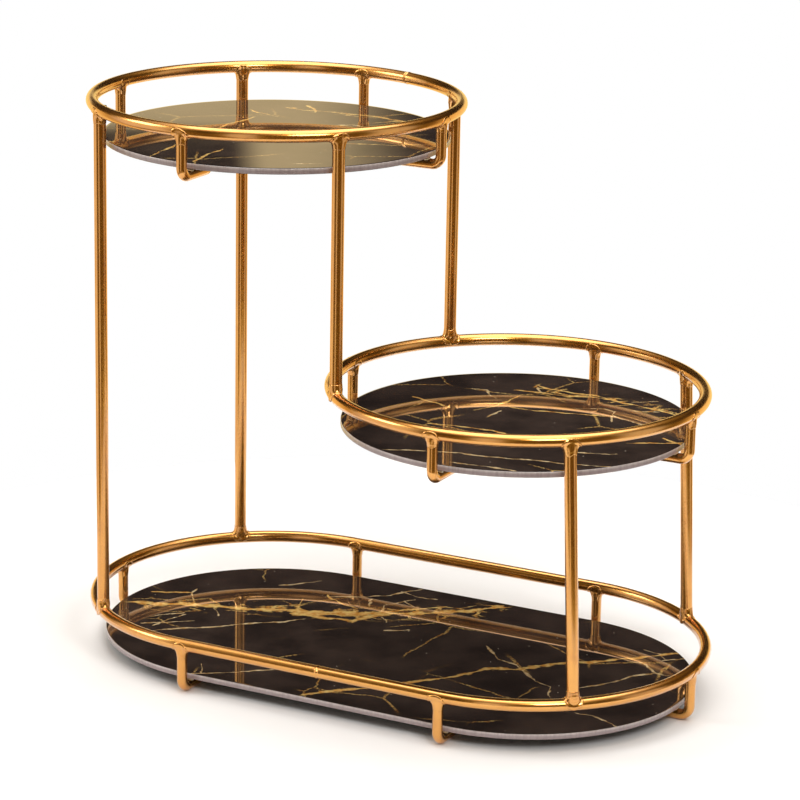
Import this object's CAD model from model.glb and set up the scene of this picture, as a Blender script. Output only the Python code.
"""Tiered cake stand: gold wire frame on three levels, each with a marbled glass tray.

Metres.  +X runs along the stand from the tall end to the low end, -Y is the front, +Z is
up, and the origin is on the table under the middle of the stand.  Every size that the
frame already has is read from the frame's own boxes.
"""

from math import cos, hypot, pi, radians, sin

import bpy
import numpy as np
from mathutils import Matrix, Vector

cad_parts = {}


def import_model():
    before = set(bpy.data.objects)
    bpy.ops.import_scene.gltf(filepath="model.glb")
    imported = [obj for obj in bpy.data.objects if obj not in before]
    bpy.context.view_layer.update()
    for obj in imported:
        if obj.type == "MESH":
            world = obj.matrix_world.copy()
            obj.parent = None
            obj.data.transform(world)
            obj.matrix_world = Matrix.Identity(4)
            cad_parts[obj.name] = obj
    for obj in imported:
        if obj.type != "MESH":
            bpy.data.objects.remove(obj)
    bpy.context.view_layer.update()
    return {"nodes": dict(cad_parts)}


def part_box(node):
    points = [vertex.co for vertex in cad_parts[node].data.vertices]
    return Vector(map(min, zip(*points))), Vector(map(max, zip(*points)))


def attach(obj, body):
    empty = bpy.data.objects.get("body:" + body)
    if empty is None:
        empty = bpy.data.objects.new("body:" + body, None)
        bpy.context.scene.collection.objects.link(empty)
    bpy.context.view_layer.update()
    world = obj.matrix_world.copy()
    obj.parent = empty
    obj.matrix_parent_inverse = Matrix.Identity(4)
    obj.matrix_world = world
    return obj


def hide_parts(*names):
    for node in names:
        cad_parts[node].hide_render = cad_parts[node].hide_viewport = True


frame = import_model()

MM = 0.001
UP = np.array((0.0, 0.0, 1.0))
FULL_TURN = 2 * pi
WIRE_SIDES = 48
BRACKET_SIDES = 40
PAD_SIDES = 32

# ---------------------------------------------------------------- sizes read off the frame


def node_box(name):
    low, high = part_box(name)
    return np.array(low), np.array(high)


class Rail:
    """A flat rail's centre line, with round ends about (left, 0) and (right, 0), and its wire."""

    def __init__(self, node):
        low, high = node_box(node)
        self.wire = (high[2] - low[2]) / 2
        self.height = (low[2] + high[2]) / 2
        self.bend = (high[1] - low[1]) / 2 - self.wire
        self.left = low[0] + self.wire + self.bend
        self.right = high[0] - self.wire - self.bend


RAILS = {tier: Rail(f"{tier}_rail") for tier in ("top", "middle", "bottom")}

# ------------------------------------------------------------------------ mesh from grids


def shell(grid, loop=False):
    """Points, quads and triangles of a grid whose columns close on themselves.

    A loop's rows close as well.  Otherwise each end is closed by one point at the middle
    of its row.  The faces are turned over if the volume they enclose comes out negative.
    """
    rows, columns = grid.shape[:2]
    index = np.arange(rows * columns).reshape(rows, columns)
    lower, upper = (index, np.roll(index, -1, 0)) if loop else (index[:-1], index[1:])
    corners = (lower, np.roll(lower, -1, 1), np.roll(upper, -1, 1), upper)
    quads = np.stack(corners, -1).reshape(-1, 4)
    points = grid.reshape(-1, 3)
    fans = np.empty((0, 3), int)
    if not loop:
        points = np.vstack((points, grid[0].mean(0), grid[-1].mean(0)))
        foot = np.full(columns, rows * columns)
        first = np.stack((foot, np.roll(index[0], -1), index[0]), -1)
        last = np.stack((foot + 1, index[-1], np.roll(index[-1], -1)), -1)
        fans = np.vstack((first, last))
    halves = np.vstack((quads[:, :3], quads[:, (0, 2, 3)], fans))
    a, b, c = (points[halves[:, i]] for i in range(3))
    if np.einsum("ij,ij->", a, np.cross(b, c)) < 0:
        quads, fans = quads[:, ::-1], fans[:, ::-1]
    return points, quads, fans


def piece(name, shells, body, material, replaced):
    """One smooth object from closed shells, riding on a body in place of CAD nodes."""
    mesh = bpy.data.meshes.new(name)
    points, faces, base = [], [], 0
    for cloud, quads, fans in shells:
        points.append(cloud)
        faces += (quads + base).tolist() + (fans + base).tolist()
        base += len(cloud)
    mesh.from_pydata(np.vstack(points).tolist(), [], faces)
    mesh.polygons.foreach_set("use_smooth", np.ones(len(faces), bool))
    mesh.materials.append(material)
    mesh.update()
    thing = bpy.data.objects.new(name, mesh)
    bpy.context.scene.collection.objects.link(thing)
    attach(thing, body)
    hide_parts(*replaced)


def wire_skin(centre, across, over, radius, sides=WIRE_SIDES):
    """A circle carried along a path: centre + radius (cos a across + sin a over)."""
    turn = np.linspace(0, FULL_TURN, sides, endpoint=False)
    spoke = (
        np.cos(turn)[None, :, None] * across[:, None, :]
        + np.sin(turn)[None, :, None] * over[:, None, :]
    )
    radius = np.broadcast_to(radius, (len(centre), sides))
    return centre[:, None, :] + radius[:, :, None] * spoke


def ripple(u, v, seed, strands=5):
    """Smooth lumps between about -1 and 1: a sum of sines of both parameters."""
    draw = np.random.default_rng(seed)
    total = np.zeros(np.broadcast(u, v).shape)
    for _ in range(strands):
        waves_u, waves_v = draw.integers(1, 5), draw.uniform(1.5, 7.0)
        phase_u, phase_v = draw.uniform(0, FULL_TURN, 2)
        total = total + np.sin(waves_u * u + phase_u) * np.sin(waves_v * v + phase_v)
    return total / strands * 1.6


# ------------------------------------------------------------------------------ node trees


class Signal:
    """A socket of a node tree.  Arithmetic on signals and numbers adds Math nodes."""

    def __init__(self, finish, socket):
        self.finish = finish
        self.socket = socket

    def math(self, operation, *values):
        return self.finish.node("ShaderNodeMath", {"operation": operation}, *values)

    def __add__(self, other):
        return self.math("ADD", self, other)

    __radd__ = __add__

    def __sub__(self, other):
        return self.math("SUBTRACT", self, other)

    def __rsub__(self, other):
        return self.math("SUBTRACT", other, self)

    def __mul__(self, other):
        return self.math("MULTIPLY", self, other)

    __rmul__ = __mul__

    def __truediv__(self, other):
        return self.math("DIVIDE", self, other)

    def __abs__(self):
        return self.math("ABSOLUTE", self)


class Finish:
    """A node tree being made, for a material or for the studio's surroundings."""

    def __init__(self, tree):
        self.tree = tree
        tree.nodes.clear()

    def node(self, kind, settings, *values, out=0, **sockets):
        """Add one node: its settings first, then its sockets' values or links.

        The setting "bends" is the list of points of a curve node, joined by straight lines.
        """
        made = self.tree.nodes.new(kind)
        for name, setting in settings.items():
            if name == "bends":
                line = made.mapping.curves[0].points
                while len(line) < len(setting):
                    line.new(1.0, 0.5)
                for point, place in zip(line, setting):
                    point.location = place
                    point.handle_type = "VECTOR"
                made.mapping.update()
            else:
                setattr(made, name, setting)
        named = {name.replace("_", " "): value for name, value in sockets.items()}
        for key, value in (*enumerate(values), *named.items()):
            if isinstance(value, Signal):
                self.tree.links.new(value.socket, made.inputs[key])
            elif value is not None:
                made.inputs[key].default_value = value
        return Signal(self, made.outputs[out]) if made.outputs else None

    def coordinates(self, output="Object"):
        return self.node("ShaderNodeTexCoord", {}, out=output)

    def vector(self, operation, *values, out=0):
        return self.node("ShaderNodeVectorMath", {"operation": operation}, *values, out=out)

    def split(self, vector):
        return [self.node("ShaderNodeSeparateXYZ", {}, vector, out=i) for i in range(3)]

    def noise(self, vector, scale, detail=2.0, roughness=0.5, out=0):
        return self.node(
            "ShaderNodeTexNoise", {}, Vector=vector, Scale=scale, Detail=detail,
            Roughness=roughness, out=out,
        )

    def cells(self, vector, scale, feature="F1", out=0):
        """Voronoi cells: the distance to their points or edges, or each cell's own colour."""
        return self.node(
            "ShaderNodeTexVoronoi", {"feature": feature}, Vector=vector, Scale=scale, out=out
        )

    def blend(self, factor, first, second):
        """Mix of two colours.  The node's five sockets for other kinds of mix stay unused."""
        unused = [None] * 5
        return self.node(
            "ShaderNodeMix", {"data_type": "RGBA"}, factor, *unused, first, second, out=2
        )

    def step(self, value, low, high, to_low=0.0, to_high=1.0):
        """Smooth ramp between two values, held level outside them."""
        return self.node(
            "ShaderNodeMapRange", {"interpolation_type": "SMOOTHSTEP"},
            value, low, high, to_low, to_high,
        )

    def most(self, first, second):
        return self.node("ShaderNodeMath", {"operation": "MAXIMUM"}, first, second)

    def bump(self, height, distance, strength=1.0):
        return self.node(
            "ShaderNodeBump", {}, Strength=strength, Distance=distance, Height=height
        )


def rgb(red, green, blue):
    """Screen colour, 0 to 255, as the linear colour that a socket takes."""
    shares = (np.array((red, green, blue)) / 255 + 0.055) / 1.055
    return (*(shares**2.4), 1.0)


def linear(*shares):
    """Colour given by its linear shares, 0 to 1, as a socket takes it."""
    return (*shares, 1.0)


def new_material(name):
    material = bpy.data.materials.new(name)
    material.use_nodes = True
    return material, Finish(material.node_tree)


def surface(finish, settings, **sockets):
    """The one shader of a material, with its even settings and its varying sockets."""
    even = {key.replace(" ", "_"): value for key, value in settings.items()}
    shader = finish.node("ShaderNodeBsdfPrincipled", {}, **even, **sockets)
    finish.node("ShaderNodeOutputMaterial", {}, Surface=shader)


# -------------------------------------------------------------------------------- finishes


GOLD_DEEP, GOLD_LIGHT, GOLD_CLOUD = rgb(216, 147, 50), rgb(226, 159, 60), rgb(200, 127, 36)
STONE_DARK, STONE_PALE = rgb(44, 35, 31), rgb(72, 59, 52)
OCHRE_DEEP, OCHRE_LIGHT = rgb(214, 142, 56), rgb(255, 222, 138)
STRAW_DEEP, STRAW_LIGHT = rgb(186, 144, 84), rgb(255, 230, 180)
SPECK_PALE = rgb(222, 212, 196)
GROUND_HIGH, GROUND_LOW, GROUND_STREAK = (
    rgb(198, 188, 186), rgb(158, 143, 144), rgb(120, 104, 108)
)
BACKING_DARK, BACKING_PALE = rgb(38, 32, 30), rgb(56, 47, 44)
SILICONE_DEEP, SILICONE_PALE = rgb(226, 214, 176), rgb(240, 232, 205)

LACQUER = {"Metallic": 1.0, "Coat IOR": 1.8, "Coat Roughness": 0.12, "Coat Weight": 0.9}
PEEL_DEPTH = 0.000008


def gold_finish(name, seed, rough=0.23, grain=1.0, tint=0.5):
    """Gold lacquer on steel wire: colour drifts slowly, with a fine orange peel."""
    material, finish = new_material(name)
    place = finish.vector("ADD", finish.coordinates(), (seed, 0.3 * seed, -seed))
    drift = finish.noise(place, 22.0, 3.0)
    cloud = finish.noise(place, 140.0, 3.0, 0.6)
    peel = finish.noise(place, 900.0, 2.0, 0.5)
    speck = finish.noise(place, 3200.0, 2.0, 0.6)
    warm = finish.blend(finish.step(drift, 0.36, 0.64), GOLD_DEEP, GOLD_LIGHT)
    gold = finish.blend(finish.step(cloud, 0.52, 0.76) * tint, warm, GOLD_CLOUD)
    sheen = rough + (cloud - 0.5) * 0.08 + (speck - 0.5) * 0.04
    height = peel * 0.7 + speck * 0.3
    surface(
        finish, LACQUER, Base_Color=gold, Roughness=sheen,
        Normal=finish.bump(height, PEEL_DEPTH * grain, 0.5),
    )
    return material


def vein(finish, spot, fray, points, width):
    """One vein: how much of it shows at a spot, 0 to 1.

    The line through the points is a curve over their own long axis, so a spot's distance
    from it is measured across that axis.  The vein thins and fades towards both ends.
    """
    points = np.array(points, float)
    first, span = points[0], points[-1] - points[0]
    length = hypot(*span)
    axis = span / length
    across = np.array((-axis[1], axis[0]))
    along = (points - first) @ axis / length
    off = (points - first) @ across
    swing = abs(off).max() + 1.0
    bends = [(float(u), float(0.5 + v / (2 * swing))) for u, v in zip(along, off)]
    u = finish.vector("DOT_PRODUCT", spot, (*(axis / length), 0.0), out=1)
    u = u - float(first @ axis / length)
    v = finish.vector("DOT_PRODUCT", spot, (*across, 0.0), out=1) - float(first @ across)
    line = finish.node("ShaderNodeFloatCurve", {"bends": bends}, 1.0, u)
    distance = abs(v - (line - 0.5) * (2 * swing))
    fade = finish.step(u, -0.01, 0.10) * finish.step(u, 1.01, 0.90)
    half = (fade * 0.6 + 0.4) * fray * width
    return finish.step(distance, half, half * 0.35) * finish.step(fade, 0.0, 0.25)


# The noises that bend the stone's lines: scale per millimetre, and reach in millimetres.
BENDS = ((0.022, 12.0), (0.11, 3.2), (0.5, 1.3))
# The cells whose edges are the cracks are turned on the tray's plane, and drawn out.
CRACK_TURN = (0.0, 0.0, radians(24.0))
CRACK_STRETCH = (2.6, 1.0, 1.0)


def marble_finish(name, top, gold_veins, pale_veins, cracked, offset):
    """Glass over a black marble print: cloud, threads, specks, pale veins, gold and cracks.

    Lengths on the tray's plane are in millimetres: the veins, how far the cracks reach
    beside the first gold vein, and the offset of the noise.  Below top, the sheet's upper
    face in metres, the wall shows the ground edge of the glass and not the print.
    """
    material, finish = new_material(name)
    place = finish.coordinates()
    spot = finish.vector("MULTIPLY", place, (1000.0, 1000.0, 0.0))
    shifted = finish.vector("ADD", spot, (offset, -offset, 0.0))
    bent = spot
    for scale, reach in BENDS:
        push = finish.noise(shifted, scale, 2.0, out=1)
        push = finish.vector("SUBTRACT", push, (0.5, 0.5, 0.5))
        bent = finish.vector("ADD", bent, finish.vector("MULTIPLY", push, (reach, reach, 0.0)))
    ragged = finish.noise(shifted, 0.8, 3.0, 0.65)
    swell = finish.noise(shifted, 0.09, 2.0)
    fray = finish.step(swell, 0.34, 0.64, 0.34, 1.6) * (0.4 + ragged * 1.2)
    gold = 0.0
    for points, width in gold_veins:
        gold = finish.most(gold, vein(finish, bent, fray, points, width))
    # Fine cracks in the stone, filled with gold, beside the first gold vein.
    turned = finish.node(
        "ShaderNodeMapping", {"vector_type": "TEXTURE"}, bent, None, CRACK_TURN, CRACK_STRETCH
    )
    crack = finish.step(finish.cells(turned, 0.12, "DISTANCE_TO_EDGE"), 0.06, 0.02)
    beside = vein(finish, spot, 1.0, gold_veins[0][0], cracked) * finish.step(swell, 0.40, 0.52)
    gold = finish.most(gold, crack * beside * finish.step(ragged, 0.38, 0.5))
    pale = 0.0
    for points, width in pale_veins:
        pale = finish.most(pale, vein(finish, bent, fray, points, width))
    # Long thin threads run between large cells of the stone, only in places.
    edge = finish.step(finish.cells(bent, 0.017, "DISTANCE_TO_EDGE"), 0.014, 0.004)
    patches = finish.step(finish.noise(shifted, 0.02, 1.0), 0.47, 0.58)
    thread = edge * patches * finish.step(ragged, 0.40, 0.55)
    # Specks sit at the points of small cells: of the cells that are picked, in patches.
    dot = finish.step(finish.cells(shifted, 0.16), 0.075, 0.035)
    pick = finish.vector("DOT_PRODUCT", finish.cells(shifted, 0.16, out=1), (1, 0, 0), out=1)
    patches = finish.step(finish.noise(shifted, 0.022, 1.0), 0.42, 0.54)
    speck = dot * finish.step(pick, 0.45, 0.50) * patches

    cloud = finish.noise(shifted, 0.03, 4.0, 0.6)
    stone = finish.blend(finish.step(cloud, 0.3, 0.7), STONE_DARK, STONE_PALE)
    tone = finish.noise(shifted, 0.25, 3.0, 0.6)
    ochre = finish.blend(finish.step(tone, 0.3, 0.7), OCHRE_DEEP, OCHRE_LIGHT)
    straw = finish.blend(finish.step(tone, 0.35, 0.65), STRAW_DEEP, STRAW_LIGHT)
    colour = finish.blend(thread * 0.7, stone, ochre)
    colour = finish.blend(speck * 0.8, colour, SPECK_PALE)
    colour = finish.blend(pale * 0.9, colour, straw)
    colour = finish.blend(gold, colour, ochre)

    below = top - finish.split(place)[2]
    wall = finish.step(below, 0.05 * MM, 0.12 * MM)
    low = finish.step(below, 0.3 * MM, 1.6 * MM)
    streak = finish.noise(finish.vector("MULTIPLY", place, (900.0, 900.0, 120.0)), 1.0, 2.0)
    ground = finish.blend(low, GROUND_HIGH, GROUND_LOW)
    ground = finish.blend(finish.step(streak, 0.35, 0.7) * 0.35, ground, GROUND_STREAK)
    surface(
        finish, {"IOR": 1.5, "Coat IOR": 1.8, "Coat Roughness": 0.015},
        Base_Color=finish.blend(wall, colour, ground), Roughness=0.04 + wall * 0.30,
        Coat_Weight=0.8 - wall * 0.6,
    )
    return material


def backing_finish():
    """Matt black print under the glass, a little cloudy."""
    material, finish = new_material("tray_backing_print")
    place = finish.coordinates()
    cloud = finish.noise(place, 60.0, 4.0, 0.6)
    grain = finish.noise(place, 1500.0, 2.0)
    colour = finish.blend(finish.step(cloud, 0.3, 0.7), BACKING_DARK, BACKING_PALE)
    surface(
        finish, {}, Base_Color=colour, Roughness=0.5 + (grain - 0.5) * 0.2,
        Normal=finish.bump(grain, 0.00003, 0.5),
    )
    return material


def pad_finish():
    """Pale silicone, shown opaque since the dots are small and lie on gold."""
    material, finish = new_material("clear_silicone")
    place = finish.coordinates()
    cloud = finish.noise(place, 500.0, 2.0)
    colour = finish.blend(cloud, SILICONE_DEEP, SILICONE_PALE)
    surface(finish, {"IOR": 1.41}, Base_Color=colour, Roughness=0.28 + (cloud - 0.5) * 0.1)
    return material


GOLD = gold_finish("gold_lacquer_wire", 0.0)
WELD = gold_finish("gold_lacquer_weld", 0.7, rough=0.26, grain=2.5, tint=0.9)
PADS = pad_finish()
BACKING = backing_finish()

# ----------------------------------------------------------------------------------- rails

# Where the butt weld lies: the top rail's by angle from +X, the bottom rail's past x = 0.
SEAM_ANGLE = radians(72.0)
SEAM_SHIFT = 6.0 * MM
SEAM_PROUD = 0.28 * MM
SEAM_WANDER = 0.35 * MM
SEAM_SEED = 11
RIDGE_WIDTH = 0.42 * MM
GROOVE_SHIFT = 0.85 * MM
GROOVE_WIDTH = 0.32 * MM
RAIL_STATIONS = 480


def bell(distance, width):
    """One at no distance, falling smoothly to nothing over about twice the width."""
    return np.exp(-((distance / width) ** 2))


def collar(distance, seed):
    """Height of a butt weld over the wire: a fine wandering ridge with a groove beside it."""
    turn = np.linspace(0, FULL_TURN, WIRE_SIDES, endpoint=False)[None, :]
    off = distance[:, None] - SEAM_WANDER * ripple(turn, 0 * turn + 1.3, seed)
    ridge = bell(off, RIDGE_WIDTH)
    groove = 0.8 * bell(off - GROOVE_SHIFT, GROOVE_WIDTH)
    uneven = 0.72 + 0.28 * ripple(turn, distance[:, None] / MM, seed)
    return SEAM_PROUD * (ridge - groove) * np.clip(uneven, 0.3, 1.0)


def rail_piece(tier, seam):
    """A rail: its wire carried along two half circles joined by two straight runs.

    Distance is counted from the front end of the right-hand half circle, and so is the
    place of the seam, which is None for a rail that shows none.
    """
    rail = RAILS[tier]
    straight = rail.right - rail.left
    half = pi * rail.bend
    along = np.linspace(0, 2 * (half + straight), RAIL_STATIONS, endpoint=False)
    if seam is not None:
        # Stations are closer together near the seam.
        fine = seam + np.linspace(-3 * MM, 3 * MM, 49)
        along = np.sort(np.concatenate((along[abs(along - seam) > 3.2 * MM], fine)))
    right_turn = np.clip(along / rail.bend, 0, pi) - pi / 2
    back_run = np.clip(along - half, 0, straight)
    left_turn = np.clip((along - half - straight) / rail.bend, 0, pi) + pi / 2
    front_run = np.clip(along - 2 * half - straight, 0, straight)
    at_left = along >= half + straight
    angle = np.where(at_left, left_turn, right_turn)
    middle = np.where(at_left, rail.left + front_run, rail.right - back_run)
    out = np.stack((np.cos(angle), np.sin(angle), np.zeros_like(angle)), -1)
    centre = out * rail.bend
    centre[:, 0] += middle
    centre[:, 2] += rail.height
    radius = np.full((len(along), WIRE_SIDES), rail.wire)
    if seam is not None:
        radius = radius + collar(along - seam, SEAM_SEED)
    skin = shell(wire_skin(centre, out, np.broadcast_to(UP, out.shape), radius), loop=True)
    piece(f"{tier}_rail_wire", [skin], "frame", GOLD, [f"{tier}_rail"])


bottom = RAILS["bottom"]
bottom_front = 2 * pi * bottom.bend + (bottom.right - bottom.left)
rail_piece("top", RAILS["top"].bend * (SEAM_ANGLE + pi / 2))
rail_piece("middle", None)
rail_piece("bottom", bottom_front + SEAM_SHIFT - bottom.left)

# ----------------------------------------------------------------------------------- posts

# The two rails that each post joins.
POSTS = {
    "left_front_post": ("bottom", "top"),
    "left_back_post": ("bottom", "top"),
    "centre_front_post": ("middle", "top"),
    "centre_back_post": ("middle", "top"),
    "right_front_post": ("bottom", "middle"),
    "right_back_post": ("bottom", "middle"),
}


def post_line(name):
    """Foot and head of a post's axis at its rails' heights, and the post's radius.

    The right-hand posts lean, since the middle ring stands in from the bottom rail's end.
    """
    lower, upper = (RAILS[tier] for tier in POSTS[name])
    low, high = node_box(name)
    middle = (low + high) / 2
    lean = lower.right - upper.right if POSTS[name] == ("bottom", "middle") else 0.0
    foot = np.array((middle[0] + lean / 2, middle[1], lower.height))
    head = np.array((middle[0] - lean / 2, middle[1], upper.height))
    return foot, head, (high[1] - low[1]) / 2


def post_piece(name):
    """A post: a straight wire from inside the lower rail to inside the upper one."""
    foot, head, radius = post_line(name)
    inside = 0.3 * RAILS["bottom"].wire / np.linalg.norm(head - foot)
    along = np.linspace(inside, 1 - inside, 40)[:, None]
    centre = foot + along * (head - foot)
    across = np.broadcast_to((1.0, 0.0, 0.0), centre.shape)
    over = np.broadcast_to((0.0, 1.0, 0.0), centre.shape)
    grid = wire_skin(centre, across, over, radius)
    piece(f"{name}_rod", [shell(grid)], "frame", GOLD, [name])


for post_name in POSTS:
    post_piece(post_name)

# -------------------------------------------------------------------------------- brackets

# The way outwards at each bracket, in degrees from +X towards +Y.
BRACKETS = {
    "top": {"right": 0, "back": 90, "left": 180, "front": 270},
    "middle": {"right": 0, "back": 90, "left": 180, "front": 270},
    "bottom": {
        "right": 0, "back_right": 90, "back_left": 90,
        "left": 180, "front_left": 270, "front_right": 270,
    },
}
BRACKET_BEND = 5.0 * MM
TIP_CHAMFER = 0.5 * MM
BEND_FLAT = 0.12 * MM


def bracket_station(tier, name):
    """Where a bracket hangs: the point on the rail's line, the way outwards and sideways.

    Then come its wire's radius, the height of its lowest point, and its depth inwards.
    """
    angle = radians(BRACKETS[tier][name])
    rail = RAILS[tier]
    low, high = node_box(f"{tier}_bracket_{name}")
    out = np.array((round(cos(angle)), round(sin(angle)), 0.0))
    side = np.array((-out[1], out[0], 0.0))
    wire = abs(np.dot(high - low, side)) / 2
    if out[0]:
        hook = np.array((rail.right if out[0] > 0 else rail.left, 0.0, rail.height))
    else:
        hook = np.array(((low[0] + high[0]) / 2, 0.0, rail.height))
    return hook + out * rail.bend, out, side, wire, low[2], np.dot(high - low, abs(out))


def bracket_piece(tier, name):
    """A bracket: straight down, a quarter turn, then inwards to a chamfered tip."""
    start, out, side, wire, low, depth = bracket_station(tier, name)
    drop = start[2] - low - wire
    reach = depth - wire
    leg = np.linspace(0.35 * RAILS[tier].wire, drop - BRACKET_BEND, 14)
    turn = np.linspace(0, pi / 2, 19)[1:]
    foot = np.linspace(BRACKET_BEND, reach - TIP_CHAMFER, 12)[1:]
    inward = np.concatenate((0 * leg, BRACKET_BEND * (1 - np.cos(turn)), foot, [reach]))
    down = np.concatenate(
        (leg, drop - BRACKET_BEND + BRACKET_BEND * np.sin(turn), 0 * foot + drop, [drop])
    )
    lean = np.concatenate((0 * leg, turn, 0 * foot + pi / 2, [pi / 2]))
    centre = start - inward[:, None] * out - down[:, None] * UP
    across = np.cos(lean)[:, None] * out - np.sin(lean)[:, None] * UP
    radius = np.full((len(lean), BRACKET_SIDES), wire)
    radius[-1] -= TIP_CHAMFER
    # Half way round the bend, the wire is a little flat on its outer and inner sides.
    squeeze = bell(lean - pi / 4, 0.5)[:, None]
    angle = np.linspace(0, FULL_TURN, BRACKET_SIDES, endpoint=False)[None, :]
    radius = radius - BEND_FLAT * squeeze * np.cos(angle) ** 2
    over = np.broadcast_to(side, centre.shape)
    grid = wire_skin(centre, across, over, radius, BRACKET_SIDES)
    node = f"{tier}_bracket_{name}"
    piece(f"{node}_wire", [shell(grid)], "frame", GOLD, [node])


for tier, names in BRACKETS.items():
    for bracket_name in names:
        bracket_piece(tier, bracket_name)

# ----------------------------------------------------------------------------------- welds


# A bead's crest is the tilt that it climbs to on the rail's outer and inner faces.
BEAD_CREST = radians(124)
BRACKET_NECK, BRACKET_REACH = 6.9 * MM, 4.9 * MM
POST_NECK, POST_REACH = 7.2 * MM, 5.1 * MM
BEAD_SEEDS = {"top": 100, "middle": 200, "bottom": 300}
BEAD_SIDES = 96


def at_least(value, least, soft=0.12 * MM):
    """Smooth maximum: least + k ln(1 + exp((value - least) / k))."""
    return least + soft * np.logaddexp(0.0, (value - least) / soft)


def fillet(centre, out, axis, wire, rail, crest, neck, reach, seed):
    """Weld between a wire and its rail; axis is the way the wire leaves the rail.

    Around the wire by angle a, each section is the curve (1-s)^2 A + 2 s (1-s) B + s^2 C.
    A lies on the wire at the bead's neck, B near the corner, and C on the rail's round,
    where the bead's edge is a lobe: it climbs to the crest's tilt on the outer and inner
    faces and reaches along the rail on both sides.  The section is then held clear of the
    rail's round and of the wire by the bead's thickness, which swells into a raised lip
    near C over a hollow, and low lumps cover the rest.
    """
    side = np.cross(UP, out)
    angle = np.linspace(0, FULL_TURN, BEAD_SIDES, endpoint=False)
    outward, beside = np.cos(angle), np.sin(angle)
    uneven = 1 + 0.10 * ripple(angle, 0 * angle + 0.7, seed)
    shoulder = 1 + 0.10 * ripple(angle, 0 * angle + 2.1, seed + 1)
    tilt = np.sign(outward) * crest * abs(outward) ** 0.6 * uneven
    along = np.sign(beside) * reach * abs(beside) ** 0.85 * uneven
    on_wire = np.stack((wire * outward, wire * beside, neck * shoulder), -1)
    on_rail = np.stack((rail * np.sin(tilt), along, rail * np.cos(tilt)), -1)
    corner = np.stack((1.1 * wire * outward, 1.1 * wire * beside, rail + 0 * angle), -1)
    s = np.linspace(0, 1, 26)[:, None]
    t = s[:, :, None]
    curve = (1 - t) ** 2 * on_wire + 2 * t * (1 - t) * corner + t**2 * on_rail

    lip = 0.16 * MM * bell(s - 0.90, 0.07)
    hollow = 0.14 * MM * bell(s - 0.62, 0.14)
    lumps = 0.10 * MM * ripple(angle[None, :], 5 * s, seed + 2, 7)
    edge = np.clip((1 - s) / 0.10, 0, 1) ** 0.5
    root = np.clip(s / 0.35, 0, 1)
    thick = 0.26 * MM + lip - hollow + lumps
    x, y, z = curve[..., 0], curve[..., 1], curve[..., 2]
    wide = np.hypot(x, y)
    swell = at_least(wide, wire - 0.04 * MM + (thick + 0.1 * MM) * root) / wide
    x, y = x * swell, y * swell
    far = np.hypot(x, z)
    swell = at_least(far, rail - 0.06 * MM + np.clip(thick, 0, 0.44 * MM) * edge, 0.05 * MM) / far
    x, z = x * swell, z * swell
    # Both ends of the bead are closed inside the wire.
    head = 0.4 * on_wire + (0, 0, 0.6 * neck)
    foot = 0.4 * on_wire * (1, 1, 0)
    rows = np.concatenate((head[None], np.stack((x, y, z), -1), foot[None]))
    return shell(centre + rows @ np.stack((out, side, axis)))


def weld_piece(tier):
    """The beads of one rail: one at each bracket, and one at each end of a post."""
    rail = RAILS[tier]
    beads = []
    for number, name in enumerate(BRACKETS[tier]):
        start, out, _, wire, _, _ = bracket_station(tier, name)
        bead = (BEAD_CREST, BRACKET_NECK, BRACKET_REACH, BEAD_SEEDS[tier] + 5 * number)
        beads.append(fillet(start, out, -UP, wire, rail.wire, *bead))
    for number, (name, levels) in enumerate(POSTS.items()):
        foot, head, wire = post_line(name)
        rise = (head - foot) / np.linalg.norm(head - foot)
        for level, centre, axis in zip(levels, (foot, head), (rise, -rise)):
            if level != tier:
                continue
            out = centre - (rail.left if centre[0] < rail.left else rail.right, 0, rail.height)
            out /= np.linalg.norm(out)
            bead = (BEAD_CREST, POST_NECK, POST_REACH, BEAD_SEEDS[tier] + 50 + 5 * number)
            beads.append(fillet(centre, out, axis, wire, rail.wire, *bead))
    node = f"{tier}_rail_welds"
    piece(f"{node}_beads", beads, "frame", WELD, [node])


for tier in RAILS:
    weld_piece(tier)

# ------------------------------------------------------------------------------------ pads


PAD_RADIUS = 2.0 * MM


def pad_piece(tier):
    """Soft dots: a superellipse turned about its upright axis, one on each bracket."""
    low, high = node_box(f"{tier}_tray_pads")
    rail = RAILS[tier]
    inset = rail.right + rail.bend - high[0]
    dots = []
    for name in BRACKETS[tier]:
        start, out, side, _, _, _ = bracket_station(tier, name)
        centre = start - out * (inset + PAD_RADIUS)
        centre[2] = low[2]
        rise = np.linspace(0, pi / 2, 12)
        lift = np.concatenate(([0.0], (high[2] - low[2]) * (0.35 + 0.65 * np.sin(rise) ** 0.8)))
        wide = np.concatenate(([0.98], np.cos(rise) ** 0.45)) * PAD_RADIUS
        wide[-1] = 0.05 * MM
        stations = centre + lift[:, None] * UP
        across, over = (np.broadcast_to(way, stations.shape) for way in (out, side))
        dots.append(shell(wire_skin(stations, across, over, wide[:, None], PAD_SIDES)))
    node = f"{tier}_tray_pads"
    piece(f"{node}_dots", dots, "frame", PADS, [node])


for tier in RAILS:
    pad_piece(tier)

# ----------------------------------------------------------------------------------- trays

ARRIS = 0.5 * MM
# The section starts on the flat faces, this far in from the edge.
FLAT = 1.6 * MM
ARC_POINTS = 97


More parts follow.
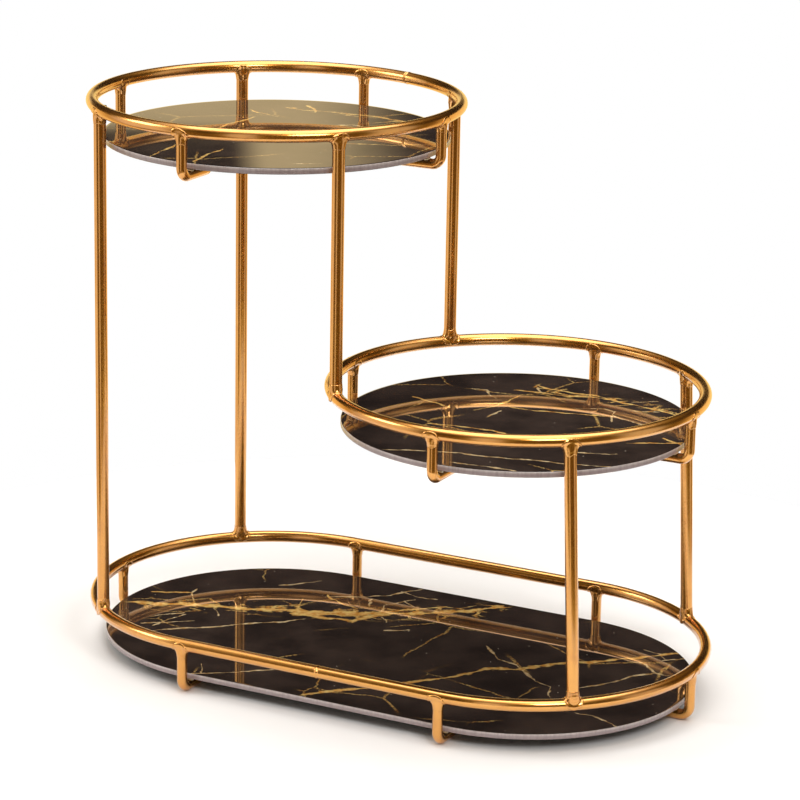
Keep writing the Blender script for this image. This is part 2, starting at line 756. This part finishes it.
def tray_piece(tier, material):
    """Glass: an edge section with rounded arrises carried round the tray's outline."""
    node = f"{tier}_tray_glass"
    low, high = node_box(node)
    bulge = (high[1] - low[1]) / 2
    left, right = low[0] + bulge, high[0] - bulge
    angle = np.linspace(-pi / 2, pi / 2, ARC_POINTS)
    arc = np.stack((np.cos(angle), np.sin(angle)), -1)
    if right - left > MM:
        out = np.vstack((arc, -arc))
        hub = np.repeat((right, left), ARC_POINTS)
    else:
        out = np.vstack((arc[:-1], -arc[:-1]))
        hub = np.full(len(out), (left + right) / 2)
    lean = np.linspace(0, pi / 2, 6)
    inset = np.concatenate(([FLAT], ARRIS * (1 - np.sin(lean))))
    drop = np.concatenate(([0.0], ARRIS * (1 - np.cos(lean))))
    inset = np.concatenate((inset, inset[::-1]))
    height = np.concatenate((high[2] - drop, low[2] + drop[::-1]))
    span = bulge - inset
    grid = np.empty((len(inset), len(out), 3))
    grid[:, :, 0] = hub[None, :] + span[:, None] * out[None, :, 0]
    grid[:, :, 1] = span[:, None] * out[None, :, 1]
    grid[:, :, 2] = height[:, None]
    # Each face is one flat polygon, in place of the shell's fan about a middle point.
    points, quads, _ = shell(grid)
    points = points[:-2]
    rows, columns = grid.shape[:2]
    index = np.arange(rows * columns).reshape(rows, columns)
    mesh = bpy.data.meshes.new(f"{tier}_tray_sheet")
    counter_clockwise = index[0].tolist()
    clockwise = index[-1][::-1].tolist()
    mesh.from_pydata(points.tolist(), [], quads.tolist() + [counter_clockwise, clockwise])
    mesh.polygons.foreach_set("use_smooth", np.ones(len(quads) + 2, bool))
    mesh.materials.append(material)
    mesh.update()
    thing = bpy.data.objects.new(f"{tier}_tray_sheet", mesh)
    bpy.context.scene.collection.objects.link(thing)
    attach(thing, f"{tier}_tray")
    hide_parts(node)
    backing = frame["nodes"][f"{tier}_tray_backing"]
    for place in backing.material_slots:
        place.material = BACKING


# Veins of each tray, in millimetres on its plane: the points of the line, and half width.
GOLD_VEINS = {
    "bottom": (
        ((
            (-164, -14), (-140, -5), (-116, 8), (-98, 13), (-76, 23), (-57, 28),
            (-40, 36), (-28, 43), (-14, 51), (0, 62), (12, 71), (27, 91),
        ), 3.6),
        (((-70, 20), (-50, 21), (-38, 22), (-33, 33), (-28, 43)), 2.4),
        (((-76, 17), (-62, 24), (-45, 30), (-34, 38)), 3.0),
        ((
            (-10, -92), (5, -75), (21, -60), (40, -36), (50, -24), (59, -7),
            (74, 5), (88, 22), (107, 35), (116, 43), (129, 56), (140, 68),
        ), 1.9),
        (((0, 60), (8, 66), (17, 78), (22, 88)), 1.3),
        (((-4, 72), (-17, 57), (-30, 44)), 1.0),
        (((-160, 9), (-150, 12), (-139, 17)), 0.9),
        (((-72, 56), (-66, 51), (-54, 45), (-44, 42)), 1.0),
        (((-79, 42), (-75, 30), (-73, 16)), 0.7),
        (((-40, 21), (-36, 28), (-33, 36)), 1.0),
    ),
    "middle": (
        (((48, 66), (60, 62), (80, 60), (95, 59), (107, 58), (125, 55), (144, 51)), 1.0),
        (((42, 52), (58, 54), (74, 53), (85, 57), (96, 59)), 0.9),
        (((50, 47), (47, 27), (45, 16), (41, 4)), 0.8),
        (((3, 13), (19, 9), (29, 3)), 0.8),
        (((51, 21), (70, 21), (84, 25), (98, 26), (111, 31)), 0.8),
        (((135, -11), (147, -4), (163, 7)), 0.8),
        (((146, 8), (155, 3), (164, -2)), 0.8),
        (((34, -29), (48, -25), (66, -23), (86, -27)), 0.9),
    ),
    "top": (
        (((-106, 62), (-92, 60), (-82, 62), (-58, 64), (-42, 65), (-28, 62)), 1.0),
        (((-108, 30), (-109, -5), (-104, -45), (-100, -70), (-98, -91)), 0.9),
        (((-78, -50), (-76, -70), (-73, -87)), 0.9),
        (((-57, 33), (-48, 46), (-38, 58), (-26, 68)), 0.7),
        (((-44, -12), (-26, -6), (-6, 3), (14, 19)), 0.7),
        (((-98, 74), (-90, 66), (-84, 58)), 0.9),
        (((-120, 48), (-112, 40), (-96, 34)), 0.6),
    ),
}
PALE_VEINS = {
    "bottom": (
        (((-62, 16), (-75, 2), (-89, -10), (-102, -25), (-119, -41), (-137, -57)), 1.0),
        (((-112, -20), (-127, -32), (-139, -40)), 0.8),
        (((-124, -11), (-139, -28)), 0.8),
        (((-122, -13), (-127, -26), (-130, -40)), 0.7),
        (((-139, 26), (-139, 17), (-132, 9), (-124, 0)), 0.7),
        (((-115, 4), (-106, -6)), 0.6),
        (((-104, 55), (-96, 61), (-89, 69), (-84, 74)), 0.9),
        (((-70, 51), (-54, 61), (-41, 71), (-35, 84), (-28, 92)), 0.8),
        (((-39, 82), (-28, 78), (-14, 80)), 0.6),
        (((-26, 73), (-32, 61), (-35, 54), (-30, 44)), 0.7),
        (((-30, 67), (-20, 60)), 0.6),
        (((-47, 60), (-41, 48)), 0.5),
        (((-17, 19), (-9, 24), (-3, 28)), 0.9),
        (((-27, 38), (-20, 31)), 0.5),
        (((-72, -92), (-52, -75), (-34, -60)), 0.8),
        (((-76, -74), (-66, -88)), 0.6),
        (((42, 23), (50, 16), (59, 9), (70, 7), (80, -1), (88, -8), (99, -14), (107, -28)), 0.8),
        (((141, 33), (130, 22), (125, 10), (120, 1), (113, -11)), 0.8),
        (((118, 62), (129, 59), (135, 51)), 0.6),
        (((145, 60), (134, 49)), 0.7),
        (((116, 42), (130, 40), (140, 32), (148, 31), (154, 39)), 0.9),
        (((124, -41), (144, -44), (157, -51)), 0.6),
    ),
    "middle": (
        ((
            (31, -81), (48, -77), (65, -71), (84, -67),
            (100, -62), (119, -57), (133, -54), (151, -52),
        ), 0.7),
        (((72, -85), (90, -83), (109, -81)), 0.8),
        (((119, -38), (130, -34), (139, -29)), 0.6),
        (((22, 42), (30, 44), (36, 36), (41, 31)), 0.8),
        (((86, 34), (99, 41), (107, 39), (110, 30), (114, 20)), 0.8),
        (((109, 33), (120, 29), (134, 25)), 0.6),
        (((107, 61), (120, 70)), 0.7),
        (((53, 11), (54, -2)), 0.6),
        (((52, 62), (59, 53)), 0.6),
        (((114, 46), (128, 52)), 0.6),
    ),
    "top": (
        (((-32, -65), (-24, -61), (-17, -56)), 0.6),
        (((-13, -75), (-5, -71)), 0.6),
        (((-60, 35), (-52, 40), (-44, 38)), 0.7),
    ),
}
# How far the cracks reach beside a tray's first gold vein, in millimetres.
CRACKED = {"top": 5.0, "middle": 11.0, "bottom": 15.0}
# How far the noise is shifted on each tray, in millimetres, so that no two are alike.
OFFSETS = {"top": 310.0, "middle": 140.0, "bottom": 60.0}

for tier in RAILS:
    tray_top = float(node_box(f"{tier}_tray_glass")[1][2])
    marble = marble_finish(
        f"{tier}_tray_marble", tray_top, GOLD_VEINS[tier], PALE_VEINS[tier],
        CRACKED[tier], OFFSETS[tier],
    )
    tray_piece(tier, marble)

# ------------------------------------------------------------------------ floor and studio

FLOOR_RADIUS = 0.38
FLOOR_SIDES = 128
# The floor lies a little below the wires that stand on it.
FLOOR_HEIGHT = -0.2 * MM


def floor():
    """Round pale sweep: one flat disc."""
    angle = np.linspace(0, FULL_TURN, FLOOR_SIDES, endpoint=False)
    rim = np.stack((FLOOR_RADIUS * np.cos(angle), FLOOR_RADIUS * np.sin(angle), 0 * angle), -1)
    mesh = bpy.data.meshes.new("studio_floor")
    mesh.from_pydata(rim.tolist(), [], [list(range(FLOOR_SIDES))])
    material, finish = new_material("pale_sweep")
    grain = finish.noise(finish.coordinates(), 40.0, 2.0)
    pale = finish.blend(grain, linear(0.93, 0.93, 0.93), linear(0.95, 0.95, 0.95))
    surface(finish, {"Specular IOR Level": 0.0}, Base_Color=pale, Roughness=0.9)
    mesh.materials.append(material)
    thing = bpy.data.objects.new("studio_floor", mesh)
    bpy.context.scene.collection.objects.link(thing)
    thing.location.z = FLOOR_HEIGHT


floor()

# Brightest the surroundings get, as a multiple of the backdrop that the eye sees.
PEAK = 2.0
LIGHT = linear(1.0, 0.97, 0.93)
BACKDROP = linear(1.0, 1.0, 1.0)
ROOM = linear(0.08, 0.05, 0.013)
ROOM_BAND = linear(0.035, 0.022, 0.009)
ROOM_SHADE = linear(0.006, 0.005, 0.005)
ROOM_WALL = linear(0.36, 0.27, 0.14)
ROOM_SWEEP = linear(0.60, 0.43, 0.15)


def world():
    """Pale backdrop for the eye; for the object, a dark room with a dome and panels.

    Heights are the z of a ray's direction.  Azimuths, half widths and soft edges are in
    degrees, counted from +X towards +Y.
    """
    bpy.context.scene.world = bpy.data.worlds.new("studio")
    bpy.context.scene.world.use_nodes = True
    finish = Finish(bpy.context.scene.world.node_tree)
    ray = finish.coordinates("Generated")
    x, y, z = finish.split(ray)
    level = finish.node("ShaderNodeMath", {"operation": "SQRT"}, x * x + y * y) + 0.0001

    def panel(azimuth, half_width, soft):
        towards = (x * cos(radians(azimuth)) + y * sin(radians(azimuth))) / level
        return finish.step(
            towards, cos(radians(half_width + soft)), cos(radians(max(half_width - soft, 0)))
        )

    # Light: a dome overhead and three tall panels, to the left, in front and to the right.
    dome = finish.step(z, 0.62, 0.95) * 1.4
    tall = finish.step(z, -0.75, -0.45) * finish.step(z, 0.75, 0.35)
    left = panel(-150, 22, 10) * tall
    near = panel(-82, 7, 5) * tall * 0.9
    right = panel(14, 13, 8) * tall * 0.7
    # Behind the object: a lit wall with a lower stretch, in shade, and the backdrop's sweep.
    gap = panel(127, 7.1, 0.35) * finish.step(z, 0.195, 0.199)
    wall = panel(132, 14, 1.2) * finish.step(z, 0.24, 0.22) * finish.step(z, 0.0, 0.1)
    wall = wall * (1.0 - gap)
    shade = panel(117, 42, 14) * finish.step(z, 0.52, 0.42)
    sweep = panel(117, 60, 15) * finish.step(z, 0.18, 0.15)
    band = finish.step(z, 0.06, 0.14) * finish.step(z, 0.62, 0.50)
    room = finish.blend(band, ROOM, ROOM_BAND)
    room = finish.blend(shade, room, ROOM_SHADE)
    room = finish.blend(wall, room, ROOM_WALL)
    room = finish.blend(sweep, room, ROOM_SWEEP)
    lit = finish.blend((dome + left + near + right) / PEAK, room, LIGHT)
    seen = finish.node("ShaderNodeLightPath", {}, out="Is Camera Ray")
    colour = finish.blend(seen, lit, BACKDROP)
    strength = finish.node("ShaderNodeMix", {"data_type": "FLOAT"}, seen, None, PEAK, 1.0)
    shader = finish.node("ShaderNodeBackground", {}, colour, strength)
    finish.node("ShaderNodeOutputWorld", {}, Surface=shader)


world()


def softbox(name, place, aim, side, power):
    """Square lamp of a side in metres and a power in watts, turned towards aim."""
    lamp = bpy.data.lights.new(name, "AREA")
    lamp.shape = "RECTANGLE"
    lamp.size = lamp.size_y = side
    lamp.energy = power
    thing = bpy.data.objects.new(name, lamp)
    bpy.context.scene.collection.objects.link(thing)
    thing.location = place
    away = Vector(place) - Vector(aim)
    thing.rotation_euler = away.to_track_quat("Z", "Y").to_euler()


MIDDLE = (0, 0, 0.15)
softbox("overhead_softbox", (0.0, 0.1, 1.7), aim=(0, 0, 0), side=1.7, power=17.5)
softbox("key_softbox", (1.1, -1.0, 1.2), aim=MIDDLE, side=0.6, power=10)
softbox("fill_softbox", (-1.3, -0.7, 1.0), aim=MIDDLE, side=0.6, power=6)

# ---------------------------------------------------------------------------------- camera


SENSOR_WIDTH = 36.0


def camera(azimuth, elevation, roll, distance, aim, lens):
    """Camera looking at aim.

    Angles are in degrees, with the azimuth counted from the front towards +X.  The
    distance is in metres, and the lens in millimetres.
    """
    a, e, r = radians(azimuth), radians(elevation), radians(roll)
    back = Vector((sin(a) * cos(e), -cos(a) * cos(e), sin(e)))
    level = Vector((cos(a), sin(a), 0))
    upright = back.cross(level)
    right = cos(r) * level + sin(r) * upright
    top = -sin(r) * level + cos(r) * upright
    eye = bpy.data.cameras.new("camera")
    eye.lens = lens
    eye.sensor_width = SENSOR_WIDTH
    thing = bpy.data.objects.new("camera", eye)
    bpy.context.scene.collection.objects.link(thing)
    turn = Matrix((right, top, back)).transposed().to_4x4()
    thing.matrix_world = Matrix.Translation(Vector(aim) + back * distance) @ turn
    bpy.context.scene.camera = thing


camera(
    azimuth=27.27, elevation=15.943, roll=1.01, distance=1.7764,
    aim=(0.0006, 0.0, 0.14699), lens=151.66,
)
bpy.context.scene.view_settings.view_transform = "Standard"
